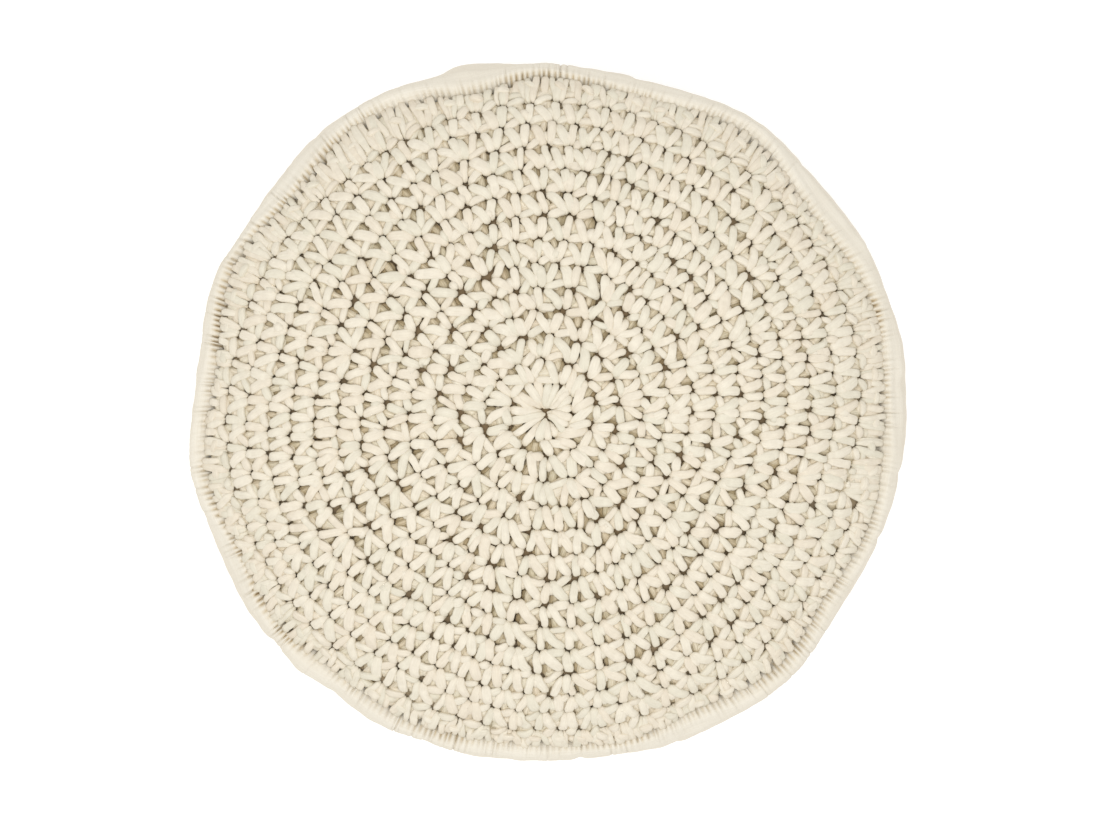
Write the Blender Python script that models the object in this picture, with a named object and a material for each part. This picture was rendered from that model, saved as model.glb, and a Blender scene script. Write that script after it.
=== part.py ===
"""A round crocheted pouf: a filled, crowned cushion that stands on its flat base.

Pieces, each one closed solid:
  pouf_body     the filled body in its side cloth: the crown under the top, the soft roll
                that the gathered cloth makes round the seam, the uneven wall, the flat base
  crochet_top   the crocheted top, a domed disc worked in rounds, laid over the crown

Units are metres, +Z is up, and the floor is z = 0 under the middle of the pouf.
Every outline is a mean radius plus a short table of soft lobes, so the pouf is as uneven
as a hand-made one.
"""

import math

import bmesh
import bpy

# ---------------------------------------------------------------- driving sizes
POUF_HEIGHT = 0.320
SEAM_RADIUS = 0.2468
SEAM_HEIGHT = 0.262
SEAM_FALL = 0.40
SHOULDER_REACH = 0.0120
BULGE_RADIUS = 0.2660
BULGE_OVAL = 0.0036
BASE_RADIUS = 0.226
BASE_OVAL = 0.0030
CROCHET_CENTRE = (-0.0010, -0.0034)

ROUNDS = 14
ROUND_RELIEF = 0.0024
CENTRE_DIMPLE = 0.0040
TOP_THICKNESS = 0.0070
TOP_INSET = 0.0008
GAP = 0.0004

FULL_TURN = 2.0 * math.pi
STEPS = 96

# ---------------------------------------------------------------- uneven outlines
# Each lobe: the direction it points in and its half width, degrees, and its rise, metres.
SEAM_LOBES = (
    {"at": 18, "width": 8, "rise": 0.0050},
    {"at": 35, "width": 6, "rise": -0.0044},
    {"at": 54, "width": 6, "rise": 0.0080},
    {"at": 74, "width": 7, "rise": -0.0036},
    {"at": 90, "width": 4, "rise": 0.0022},
    {"at": 103, "width": 4, "rise": -0.0056},
    {"at": 121, "width": 8, "rise": 0.0080},
    {"at": 140, "width": 5, "rise": -0.0020},
    {"at": 155, "width": 7, "rise": 0.0080},
    {"at": 170, "width": 5, "rise": -0.0022},
    {"at": 190, "width": 6, "rise": 0.0066},
    {"at": 205, "width": 4, "rise": -0.0024},
    {"at": 217, "width": 5, "rise": 0.0024},
    {"at": 232, "width": 5, "rise": -0.0036},
    {"at": 262, "width": 7, "rise": -0.0058},
    {"at": 276, "width": 5, "rise": -0.0042},
    {"at": 295, "width": 5, "rise": -0.0050},
    {"at": 313, "width": 6, "rise": 0.0038},
    {"at": 327, "width": 4, "rise": -0.0036},
    {"at": 345, "width": 8, "rise": 0.0030},
)
WALL_LOBES = (
    {"at": 8, "width": 9, "rise": 0.0018},
    {"at": 34, "width": 7, "rise": 0.0024},
    {"at": 53, "width": 7, "rise": 0.0020},
    {"at": 76, "width": 9, "rise": -0.0030},
    {"at": 103, "width": 6, "rise": 0.0036},
    {"at": 127, "width": 8, "rise": 0.0050},
    {"at": 144, "width": 5, "rise": 0.0024},
    {"at": 174, "width": 9, "rise": -0.0044},
    {"at": 204, "width": 7, "rise": 0.0026},
    {"at": 216, "width": 5, "rise": 0.0024},
    {"at": 240, "width": 5, "rise": 0.0030},
    {"at": 267, "width": 7, "rise": 0.0012},
    {"at": 292, "width": 6, "rise": 0.0040},
    {"at": 308, "width": 7, "rise": 0.0040},
    {"at": 333, "width": 8, "rise": -0.0034},
)
BASE_LOBES = (
    {"at": 22, "width": 16, "rise": 0.0030},
    {"at": 68, "width": 12, "rise": -0.0040},
    {"at": 112, "width": 18, "rise": 0.0040},
    {"at": 165, "width": 14, "rise": -0.0030},
    {"at": 214, "width": 16, "rise": 0.0036},
    {"at": 258, "width": 12, "rise": -0.0030},
    {"at": 301, "width": 15, "rise": 0.0034},
    {"at": 338, "width": 11, "rise": -0.0030},
)
# The roll that the gathered cloth makes: how far out from the seam, and how far above it.
ROLL_STATIONS = (
    {"out": 0.0006, "up": -0.0070},
    {"out": 0.0012, "up": -0.0012},
    {"out": 0.0038, "up": 0.0030},
    {"out": 0.0078, "up": 0.0044},
    {"out": 0.0120, "up": 0.0022},
)
# The side wall below the roll: its height as a share of the seam's height, and how far it
# has swung from the roll's outline to the bulge's and on to the base's (0, 1 and 2).
WALL_STATIONS = (
    {"height": 0.980, "swing": 0.34},
    {"height": 0.935, "swing": 0.62},
    {"height": 0.870, "swing": 0.82},
    {"height": 0.795, "swing": 0.94},
    {"height": 0.710, "swing": 1.00},
    {"height": 0.615, "swing": 1.02},
    {"height": 0.515, "swing": 1.04},
    {"height": 0.415, "swing": 1.08},
    {"height": 0.320, "swing": 1.15},
    {"height": 0.230, "swing": 1.27},
    {"height": 0.150, "swing": 1.43},
    {"height": 0.085, "swing": 1.61},
    {"height": 0.036, "swing": 1.80},
    {"height": 0.008, "swing": 1.95},
)
# Slow waves that make the filled wall lumpy: lobes round it, turns as it goes down, size.
WALL_WAVES = (
    {"lobes": 5, "twist": 1.7, "shift": 0.6, "rise": 0.0011},
    {"lobes": 9, "twist": -2.3, "shift": 2.1, "rise": 0.0009},
    {"lobes": 14, "twist": 3.1, "shift": 4.4, "rise": 0.0007},
)
# Slow waves over the crown: along X and Y in turns per metre, a shift, and their size.
CROWN_WAVES = (
    {"x": 3.1, "y": 1.2, "shift": 0.4, "rise": 0.0011},
    {"x": -1.4, "y": 4.3, "shift": 1.9, "rise": 0.0009},
    {"x": 5.2, "y": -3.6, "shift": 3.3, "rise": 0.0006},
)
# One crochet round: the share of its width, and the share of its relief there.
ROUND_SHAPE = (
    {"share": 0.34, "rise": 1.0},
    {"share": 0.72, "rise": 0.9},
    {"share": 1.00, "rise": 0.0},
)

# Where the top's underside and the body's crown have their rings, as shares of the radius.
UNDERSIDE_SHARES = (0.12, 0.36, 0.60, 0.80, 0.94, 1.0)

# ---------------------------------------------------------------- finishes
COTTON_YARN = {"name": "cotton_yarn", "colour": (0.80, 0.72, 0.58, 1.0), "roughness": 0.85}
COTTON_CLOTH = {"name": "cotton_cloth", "colour": (0.78, 0.71, 0.58, 1.0), "roughness": 0.9}


# ---------------------------------------------------------------- outlines as functions
def lobes_at(table, angle):
    """Sum of the soft lobes of a table in one direction."""
    total = 0.0
    for lobe in table:
        turn = angle - math.radians(lobe["at"])
        turn = (turn + math.pi) % FULL_TURN - math.pi
        total += lobe["rise"] * math.exp(-0.5 * (turn / math.radians(lobe["width"])) ** 2)
    return total


def seam_radius(angle):
    return SEAM_RADIUS + lobes_at(SEAM_LOBES, angle)


def seam_height(angle):
    """The seam drops where it is pushed out and lifts where it is drawn in."""
    return SEAM_HEIGHT - SEAM_FALL * lobes_at(SEAM_LOBES, angle)


def bulge_radius(angle):
    return BULGE_RADIUS + BULGE_OVAL * math.cos(2.0 * angle) + lobes_at(WALL_LOBES, angle)


def base_radius(angle):
    return BASE_RADIUS + BASE_OVAL * math.cos(2.0 * angle) + lobes_at(BASE_LOBES, angle)


def place(angle, radius, height, drift=0.0):
    """A point on a ring whose centre drifts from the crochet's centre to the body's."""
    x = CROCHET_CENTRE[0] * (1.0 - drift) + radius * math.cos(angle)
    y = CROCHET_CENTRE[1] * (1.0 - drift) + radius * math.sin(angle)
    return (x, y, height)


def crown_share(share):
    """Height of the crown, 1 in the middle and 0 at the seam: flat, then falling away."""
    return 1.0 - 0.36 * share ** 2 - 0.64 * share ** 5


def crown_unevenness(x, y, share):
    """Soft dents in the crown, which die out at the seam."""
    total = 0.0
    for wave in CROWN_WAVES:
        total += wave["rise"] * math.sin(FULL_TURN * (wave["x"] * x + wave["y"] * y) + wave["shift"])
    return total * share * (1.0 - share ** 4)


def crown_point(angle, share, below):
    """A point of the crown, a given depth below the top's tallest loops.

    The rounds are true circles in the middle and take up the seam's lobes on their way out.
    """
    rim = seam_height(angle)
    radius = share * (SEAM_RADIUS - TOP_INSET) + share ** 4 * lobes_at(SEAM_LOBES, angle)
    x, y, _ = place(angle, radius, 0.0)
    height = rim + (POUF_HEIGHT - rim) * crown_share(share)
    height += crown_unevenness(x, y, share)
    return (x, y, height - below)


def roll_point(angle, station):
    """A point of the roll that stands round the seam."""
    radius = seam_radius(angle) + station["out"]
    return place(angle, radius, seam_height(angle) + station["up"])


def wall_point(angle, station):
    """A point of the side wall at one station between the roll and the base."""
    swing = station["swing"]
    upper = min(swing, 1.0)
    lower = max(swing - 1.0, 0.0)
    radius = seam_radius(angle) + SHOULDER_REACH
    radius += (bulge_radius(angle) - radius) * upper
    radius += (base_radius(angle) - radius) * lower
    down = 1.0 - station["height"]
    for wave in WALL_WAVES:
        phase = wave["lobes"] * angle + wave["twist"] * FULL_TURN * down + wave["shift"]
        radius += wave["rise"] * math.sin(phase) * math.sin(0.5 * math.pi * swing)
    return place(angle, radius, seam_height(angle) * station["height"], upper)


# ---------------------------------------------------------------- mesh helpers
def add_ring(bm, count, point_at):
    """One ring of vertices; point_at gives a position for an angle."""
    return [bm.verts.new(point_at(FULL_TURN * i / count)) for i in range(count)]


def join_rings(bm, inner, outer):
    """Faces between two rings of the same count, or of counts one to two."""
    small, large = len(inner), len(outer)
    if small == large:
        for i in range(small):
            j = (i + 1) % small
            bm.faces.new((inner[i], outer[i], outer[j], inner[j]))
    elif large == 2 * small:
        for i in range(small):
            j = (i + 1) % small
            near, middle, far = outer[2 * i], outer[2 * i + 1], outer[(2 * i + 2) % large]
            bm.faces.new((inner[i], near, middle))
            bm.faces.new((inner[i], middle, inner[j]))
            bm.faces.new((inner[j], middle, far))
    else:
        for i in range(large):
            j = (i + 1) % large
            near, middle, far = inner[2 * i], inner[2 * i + 1], inner[(2 * i + 2) % small]
            bm.faces.new((near, outer[i], middle))
            bm.faces.new((middle, outer[i], outer[j]))
            bm.faces.new((middle, outer[j], far))


def cap_start(bm, point, ring):
    """A fan of faces from a middle point out to the first ring."""
    middle = bm.verts.new(point)
    for i in range(len(ring)):
        bm.faces.new((middle, ring[i], ring[(i + 1) % len(ring)]))


def cap_end(bm, point, ring):
    """A fan of faces from the last ring in to a middle point."""
    middle = bm.verts.new(point)
    for i in range(len(ring)):
        bm.faces.new((middle, ring[(i + 1) % len(ring)], ring[i]))


def finish_solid(bm, name, finish):
    """Turn a bmesh into an object with its own material."""
    bmesh.ops.recalc_face_normals(bm, faces=bm.faces)
    mesh = bpy.data.meshes.new(name)
    bm.to_mesh(mesh)
    bm.free()
    solid = bpy.data.objects.new(name, mesh)
    bpy.context.scene.collection.objects.link(solid)
    mesh.shade_smooth()
    mesh.materials.append(make_material(finish))
    return solid


def make_material(finish):
    material = bpy.data.materials.new(finish["name"])
    material.use_nodes = True
    shader = material.node_tree.nodes["Principled BSDF"]
    shader.inputs["Base Color"].default_value = finish["colour"]
    shader.inputs["Roughness"].default_value = finish["roughness"]
    shader.inputs["Metallic"].default_value = 0.0
    return material


# ---------------------------------------------------------------- the pieces
def ring_count(share):
    """Fewer points round the small rings near the middle."""
    if share < 0.14:
        return STEPS // 4
    if share < 0.46:
        return STEPS // 2
    return STEPS


def build_crochet_top():
    """The domed disc, with its rounds raised as soft rings and a dimple at its middle."""
    bm = bmesh.new()
    deep = ROUND_RELIEF + CENTRE_DIMPLE
    rings = []
    for number in range(ROUNDS):
        for shape in ROUND_SHAPE:
            share = (number + shape["share"]) / ROUNDS
            below = ROUND_RELIEF * (1.0 - shape["rise"])
            rings.append(add_ring(bm, ring_count(share), lambda a: crown_point(a, share, below)))
    cap_start(bm, crown_point(0.0, 0.0, deep), rings[0])
    depth = TOP_THICKNESS - GAP
    for share in reversed(UNDERSIDE_SHARES):
        rings.append(add_ring(bm, ring_count(share), lambda a: crown_point(a, share, depth)))
    for inner, outer in zip(rings, rings[1:]):
        join_rings(bm, inner, outer)
    cap_end(bm, crown_point(0.0, 0.0, depth + CENTRE_DIMPLE), rings[-1])
    return finish_solid(bm, "crochet_top", COTTON_YARN)


def build_pouf_body():
    """The filled body: a crown under the top, the roll, the wall and the base."""
    bm = bmesh.new()
    rings = []
    for share in UNDERSIDE_SHARES:
        rings.append(add_ring(bm, ring_count(share), lambda a: crown_point(a, share, TOP_THICKNESS)))
    cap_start(bm, crown_point(0.0, 0.0, TOP_THICKNESS + CENTRE_DIMPLE), rings[0])
    for station in ROLL_STATIONS:
        rings.append(add_ring(bm, STEPS, lambda a: roll_point(a, station)))
    for station in WALL_STATIONS:
        rings.append(add_ring(bm, STEPS, lambda a: wall_point(a, station)))
    rings.append(add_ring(bm, STEPS, lambda a: place(a, base_radius(a), 0.0, 1.0)))
    rings.append(add_ring(bm, STEPS // 2, lambda a: place(a, 0.5 * BASE_RADIUS, 0.0, 1.0)))
    for inner, outer in zip(rings, rings[1:]):
        join_rings(bm, inner, outer)
    cap_end(bm, (0.0, 0.0, 0.0), rings[-1])
    return finish_solid(bm, "pouf_body", COTTON_CLOTH)


def centre_on_origin(solids):
    """Slide the finished pouf so that the middle of its plan lies over the origin."""
    xs = [v.co.x for solid in solids for v in solid.data.vertices]
    ys = [v.co.y for solid in solids for v in solid.data.vertices]
    for solid in solids:
        solid.location = (-0.5 * (min(xs) + max(xs)), -0.5 * (min(ys) + max(ys)), 0.0)


def main():
    for old in list(bpy.data.objects):
        bpy.data.objects.remove(old, do_unlink=True)
    solids = [build_pouf_body(), build_crochet_top()]
    centre_on_origin(solids)


main()
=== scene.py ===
# %% [markdown]
# # A crocheted pouf
#
# The real thing is a round floor cushion. Its top is one spiral of crochet in thick cotton
# yarn, its side is plain cotton cloth drawn into hundreds of small gathers where it meets the
# crochet, and the whole is stuffed hard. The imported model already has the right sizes, so it
# is loaded first, and everything below is laid out from what is measured on it.

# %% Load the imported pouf
import math

import bpy
import numpy as np
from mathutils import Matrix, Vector
from mathutils.bvhtree import BVHTree


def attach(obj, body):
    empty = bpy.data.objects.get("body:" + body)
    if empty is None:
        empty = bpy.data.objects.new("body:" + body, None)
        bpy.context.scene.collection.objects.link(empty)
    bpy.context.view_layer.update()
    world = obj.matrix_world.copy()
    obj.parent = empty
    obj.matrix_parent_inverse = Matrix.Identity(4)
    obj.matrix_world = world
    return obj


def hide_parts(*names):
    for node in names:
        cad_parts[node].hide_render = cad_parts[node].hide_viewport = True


MM = 0.001
FULL_TURN = 2.0 * math.pi

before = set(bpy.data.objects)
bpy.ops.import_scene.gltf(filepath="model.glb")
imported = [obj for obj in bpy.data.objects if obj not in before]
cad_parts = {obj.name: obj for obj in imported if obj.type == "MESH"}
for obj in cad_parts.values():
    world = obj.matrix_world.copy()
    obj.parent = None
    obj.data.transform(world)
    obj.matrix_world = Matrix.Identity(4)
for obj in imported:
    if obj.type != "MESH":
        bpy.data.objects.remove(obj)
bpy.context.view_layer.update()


# %% [markdown]
# ## Where the crochet ends
#
# The crocheted disc isn't a true circle: the gathered seam pulls it in and lets it out. The
# packed disc is made of rings around one middle, so that middle is the average of its inner
# points, and the seam is the outermost point in each direction. The 96 readings are turned
# into a smooth closed curve with a Fourier series, which never shows a corner.

# %% Measure the crochet's middle and its seam
SEAM_READINGS = 96
SEAM_STEPS = 1440
INNER_REACH = 60 * MM
RIM_BAND = 0.2 * MM


def node_points(name):
    """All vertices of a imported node, as rows of x, y, z."""
    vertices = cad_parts[name].data.vertices
    flat = np.zeros(3 * len(vertices))
    vertices.foreach_get("co", flat)
    return flat.reshape(-1, 3)


def ring_middle(points):
    """The point that the inner rings go round, found in a few tries that close in on it."""
    middle = 0.5 * (points.min(0) + points.max(0))[:2]
    for _ in range(4):
        offset = points[:, :2] - middle
        inner = np.hypot(offset[:, 0], offset[:, 1]) < INNER_REACH
        middle = points[inner, :2].mean(0)
    return middle


def closed_curve(readings):
    """Turn evenly spaced readings round a circle into a finer smooth closed table."""
    waves = np.fft.rfft(readings)
    return np.fft.irfft(waves, SEAM_STEPS) * SEAM_STEPS / len(readings)


top_points = node_points("crochet_top")
MIDDLE = ring_middle(top_points)
TOP_HEIGHT = top_points[:, 2].max()


def polar(x, y):
    """Distance and direction of plan positions from the middle."""
    return np.hypot(x - MIDDLE[0], y - MIDDLE[1]), np.arctan2(y - MIDDLE[1], x - MIDDLE[0])


def plan_point(radius, angle):
    """Plan positions at a distance and direction from the middle."""
    return np.stack([MIDDLE[0] + radius * np.cos(angle), MIDDLE[1] + radius * np.sin(angle)], -1)


def read_seam(points):
    """Plan radius and height of the disc's edge, by direction."""
    radius, angle = polar(points[:, 0], points[:, 1])
    column = np.round(angle / FULL_TURN * SEAM_READINGS).astype(int) % SEAM_READINGS
    radii = []
    heights = []
    for number in range(SEAM_READINGS):
        mine = column == number
        outer = mine & (radius > radius[mine].max() - RIM_BAND)
        radii.append(radius[outer].max())
        heights.append(points[outer, 2].max())
    return closed_curve(radii), closed_curve(heights)


seam_radii, seam_heights = read_seam(top_points)
seam_angles = np.linspace(0.0, FULL_TURN, SEAM_STEPS, endpoint=False)


def seam_radius(angle):
    """Distance from the middle to the seam."""
    return np.interp(angle, seam_angles, seam_radii, period=FULL_TURN)


def seam_height(angle):
    """Height of the crochet's edge above the floor."""
    return np.interp(angle, seam_angles, seam_heights, period=FULL_TURN)


print("middle, mm:", np.round(1000 * MIDDLE, 1), "top, mm:", round(1000 * TOP_HEIGHT, 1))
print("seam radius, mm:", round(1000 * seam_radii.min()), "to", round(1000 * seam_radii.max()))


# %% [markdown]
# ## The crown
#
# A stuffed disc is nearly flat in the middle and falls away faster and faster towards its
# seam. One short formula gives that: part of the fall is even and the rest comes late. Its
# slope gives the direction in which the yarn stands proud. All yarn is laid by plan position
# and by depth below this surface, which passes over the tops of the tallest loops.

# %% The surface over the loops
EDGE_LIFT = 1.2 * MM
EVEN_FALL = 0.36
LATE_FALL = 0.64
DIMPLE_DEPTH = 3.0 * MM
DIMPLE_RADIUS = 13.0 * MM


def crown_height(x, y):
    """Height of the tallest loops over a point of the plan."""
    radius, angle = polar(x, y)
    share = radius / seam_radius(angle)
    rim = seam_height(angle) + EDGE_LIFT
    fall = EVEN_FALL * share ** 2 + LATE_FALL * share ** 5
    dimple = DIMPLE_DEPTH * np.exp(-(radius / DIMPLE_RADIUS) ** 2)
    return rim + (TOP_HEIGHT - rim) * (1.0 - fall) - dimple


def crown_normal(x, y):
    """Unit vectors square to the crown, pointing up and out."""
    step = 1.0 * MM
    slope_x = (crown_height(x + step, y) - crown_height(x - step, y)) / (2 * step)
    slope_y = (crown_height(x, y + step) - crown_height(x, y - step)) / (2 * step)
    normal = np.stack([-slope_x, -slope_y, np.ones_like(slope_x)], -1)
    return normal / np.linalg.norm(normal, axis=-1, keepdims=True)


def under_crown(x, y, depth):
    """Points a depth below the crown, measured square to it."""
    surface = np.stack([x, y, crown_height(x, y)], -1)
    return surface - crown_normal(x, y) * depth[..., None]


print("crown rise, mm:", round(1000 * (TOP_HEIGHT - seam_heights.mean()), 1))


# %% [markdown]
# ## The spiral of stitches
#
# The maker works round and round without closing a round, adding stitches so that each keeps
# its width. So the holes that the hook went through lie on a spiral, and with stitches of
# even width their count grows with the square of the turns. The hand isn't even, so soft
# waves push the rounds out and in. The last turns are squeezed together, and the spiral ends
# by running into the seam.

# %% Lay out the spiral
TURNS = 12.80
FIRST_ANGLE = math.radians(60)
FIRST_RADIUS = 21.0 * MM
ROUND_WIDTH = 17.25 * MM
SQUEEZE_FROM = 10.5
SQUEEZE = 0.9 * MM
# Each wave: its direction and half width, degrees, and how far out it pushes, mm.
ROUND_WAVES = ((25, 30, 3.0), (133, 20, -5.2), (192, 17, 4.2), (238, 12, -2.6), (278, 14, 3.4),
               (332, 17, -4.6))
# These are added over the last turns only.
LAST_WAVES = ((12, 28, 5.0), (150, 12, 3.4), (210, 10, -2.0), (281, 18, -5.4))
ROUND_WAVES_GROW = 5.0
LAST_WAVES_FROM = 10.3
LAST_WAVES_GROW = 1.5
rng = np.random.default_rng(7)


def turn_from(angle, centre):
    """The turn from one direction to another, the short way round and with its sign."""
    return (angle - centre + math.pi) % FULL_TURN - math.pi


def waves_at(waves, angle):
    """Sum of the waves in each direction, metres."""
    total = np.zeros_like(angle)
    for at, width, out in waves:
        turn = turn_from(angle, math.radians(at))
        total += out * MM * np.exp(-0.5 * (turn / math.radians(width)) ** 2)
    return total


def spiral_radius(turns):
    """Distance of the spiral from the middle after a number of turns."""
    angle = FIRST_ANGLE + FULL_TURN * turns
    radius = FIRST_RADIUS + ROUND_WIDTH * turns
    radius -= SQUEEZE * np.maximum(turns - SQUEEZE_FROM, 0.0) ** 2
    radius += waves_at(ROUND_WAVES, angle) * np.clip(turns / ROUND_WAVES_GROW, 0.0, 1.0)
    last = np.clip((turns - LAST_WAVES_FROM) / LAST_WAVES_GROW, 0.0, 1.0)
    radius += waves_at(LAST_WAVES, angle) * last
    return radius


for turns in (0.0, 4.0, 8.0, TURNS):
    print("turn", turns, "radius, mm:", round(1000 * float(spiral_radius(np.array(turns)))))


# %% [markdown]
# ## Which stitch stands in which hole
#
# Every stitch past the first round is worked into a hole of the round below. The hook moves
# one stitch's width along at a time, but the round is longer than the one below it, so the
# new holes fall behind the old ones. When a stitch is about half a width behind, it shares the
# last hole with the stitch before it, and so the round grows by six stitches or so. Just when
# that happens is left a little to chance, as it is to the hand.

# %% Work round and round
STITCH_WIDTH = 18.4 * MM
LEAN = 5.0 * MM
HAND_CHANCE = 0.22


def repeats(numbers):
    """True for each number that is the same as the one before it: a hole's second stitch."""
    return np.concatenate([[False], np.diff(numbers) == 0])


def work_the_rounds():
    """Turns at each hole, and the hole it is worked into (-1 for the first round)."""
    turns = [0.0]
    parents = [-1]
    while turns[-1] < TURNS:
        width = STITCH_WIDTH / (FULL_TURN * spiral_radius(np.array(turns[-1])))
        free = turns[-1] + width
        if free < 1.0:
            parents.append(-1)
        else:
            parent = parents[-1] + 1
            lean = LEAN / STITCH_WIDTH * width
            behind = (turns[parent] + 1.0 - lean - free) / width + rng.normal(0.0, HAND_CHANCE)
            parents.append(parent if parent == 0 or behind < 0.5 else parent - 1)
        turns.append(free)
    return np.array(turns), np.array(parents)


even_turns, hole_parents = work_the_rounds()
HOLES = len(even_turns)
STITCHES = HOLES - 2
print("stitches:", STITCHES, "increases:", repeats(hole_parents[hole_parents >= 0]).sum())


# %% [markdown]
# Pulled tight, the yarn evens itself out: a hole settles between keeping its width from its
# two neighbours and standing straight above the hole below. That is a net of springs, relaxed
# here by moving every hole many times a little towards what its springs ask. Two stitches
# that share a hole are spread apart. The hand isn't even, so each hole is moved a little more.

# %% Let the holes settle
SETTLE_ROUNDS = 1000
SETTLE_STEP = 0.7
WIDTH_PULL = 0.5
STAND_PULL = 1.0
SHARED_SPREAD = 7.8 * MM
HOLE_WANDER = 0.45 * MM

worked = np.nonzero(hole_parents >= 0)[0]
below = hole_parents[worked]
twin = repeats(below).astype(float)
hole_spread = SHARED_SPREAD * (twin - np.roll(twin, -1))


def settle(turns):
    """Relax the holes along the spiral; the first and the last one stay."""
    turns = turns.copy()
    held = np.full(HOLES, 2 * WIDTH_PULL)
    held[[0, -1]] = WIDTH_PULL
    np.add.at(held, worked, STAND_PULL)
    np.add.at(held, below, STAND_PULL)
    for _ in range(SETTLE_ROUNDS):
        circle = FULL_TURN * spiral_radius(turns)
        width = STITCH_WIDTH / circle
        pull = np.zeros(HOLES)
        gap = np.diff(turns) - 0.5 * (width[1:] + width[:-1])
        pull[1:] -= WIDTH_PULL * gap
        pull[:-1] += WIDTH_PULL * gap
        stand = turns[worked] - turns[below] - 1.0 - (hole_spread - LEAN) / circle[worked]
        np.add.at(pull, worked, -STAND_PULL * stand)
        np.add.at(pull, below, STAND_PULL * stand)
        turns[1:-1] += (SETTLE_STEP * pull / held)[1:-1]
    return turns


hole_turns = settle(even_turns)
hole_angles = FIRST_ANGLE + FULL_TURN * hole_turns
hole_radii = spiral_radius(hole_turns)
holes = plan_point(hole_radii, hole_angles) + rng.normal(0.0, HOLE_WANDER, (HOLES, 2))

stitches = worked[worked < STITCHES]
parents = hole_parents[stitches]
twins = repeats(parents)
shared = np.isin(parents, parents[twins])
LAST_PARENT = parents[-1]
stand_off = (hole_turns[stitches] - hole_turns[parents] - 1.0) * FULL_TURN * hole_radii[stitches]
print("off the hole below, mm:", round(1000 * stand_off.mean(), 1))
print("and its spread, mm:", round(1000 * stand_off.std(), 1))
print("holes left for the seam:", STITCHES - LAST_PARENT)


# %% [markdown]
# ## A strand of yarn
#
# Each visible loop is a short length of soft yarn that comes up from between its neighbours
# and dives again. A curve with a bevel would do, but thousands of curve objects are slow, and
# their ends are flat. So each strand is swept in arrays: a smooth path through four points,
# an oval section that narrows at its feet, and round ends.

# %% The path, the section and the ends
FLATNESS = 0.52
END_REACH = 1.2
END_ROUNDNESS = 2.1


def cubic_weights(shares):
    """Weights that carry four points, at 0, 1/3, 2/3 and 1, to the shares between."""
    knots = np.array([0.0, 1.0 / 3.0, 2.0 / 3.0, 1.0])
    weights = np.ones((len(shares), 4))
    for own in range(4):
        for other in range(4):
            if other != own:
                weights[:, own] *= (shares - knots[other]) / (knots[own] - knots[other])
    return weights


def unit(vectors):
    """The same directions, each of length one."""
    return vectors / np.maximum(np.linalg.norm(vectors, axis=-1, keepdims=True), 1e-9)


def section(turn):
    """Across and up for points round a strand: an oval with a flatter top and sides."""
    across = np.cos(turn)
    up = np.sin(turn)
    return np.sign(across) * abs(across) ** FLATNESS, np.sign(up) * abs(up) ** FLATNESS


def oval_ends(along, length, half_width):
    """How full the strand is near its rounded ends: 0 at the tip, 1 past the round."""
    reach = END_REACH * half_width[:, None]
    near = np.minimum(along, 1.0 - along) * length[:, None]
    inside = np.clip(1.0 - near / reach, 0.0, 1.0)
    return np.sqrt(np.maximum(1.0 - inside ** END_ROUNDNESS, 0.0))


print("half way, the four points weigh", cubic_weights(np.array([0.5]))[0].round(4))


# %% [markdown]
# Near the seam the crochet is packed tight, so the strands there lie less deep. Tubular yarn
# isn't smooth either: it has a few soft folds that wind along it, and small lumps. Every point
# also keeps its place on the strand, for the fibres of the finish, and how deep it lies, for
# the painted shade. The sides of a strand count as deeper than they are, which paints shade
# into the crease between two strands that touch.

# %% Sweep many strands at once
TAPER_AT = (0.0, 0.3, 0.7, 1.0)
WIDTH_NOISE = 0.04
LUMPINESS = 0.02
# How much deeper a strand's sides count, for the painted shade in the creases between strands.
CREASE = 1.5
TIGHT_FROM = 0.74
TIGHT_FULL = 0.95
TIGHTENING = 0.26
FOLDS = 3
FOLD_DEPTH = 0.07
FOLD_TWIST = 1.5


def tightness(plan):
    """How tightly the yarn is packed: 0 in the open, 1 near the seam."""
    radius, angle = polar(plan[..., 0], plan[..., 1])
    near = (radius / seam_radius(angle) - TIGHT_FROM) / (TIGHT_FULL - TIGHT_FROM)
    near = np.clip(near, 0.0, 1.0)
    return near * near * (3.0 - 2.0 * near)


def middle_lines(plan, depth, shares):
    """The strands' middle lines, how deep they lie, and their sideways and up directions."""
    weights = cubic_weights(shares)
    flat = np.einsum("sk,mkc->msc", weights, plan)
    deep = np.einsum("sk,mk->ms", weights, depth) * (1.0 - TIGHTENING * tightness(flat))
    line = under_crown(flat[..., 0], flat[..., 1], deep)
    ahead = unit(np.gradient(line, axis=1))
    side = unit(np.cross(ahead, crown_normal(flat[..., 0], flat[..., 1])))
    return line, deep, side, np.cross(side, ahead)


def with_tips(first, rings, last):
    """Each strand's values in one row: its first tip, its rings, its last tip."""
    return np.concatenate([first, rings.reshape(len(rings), -1), last], 1)


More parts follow.
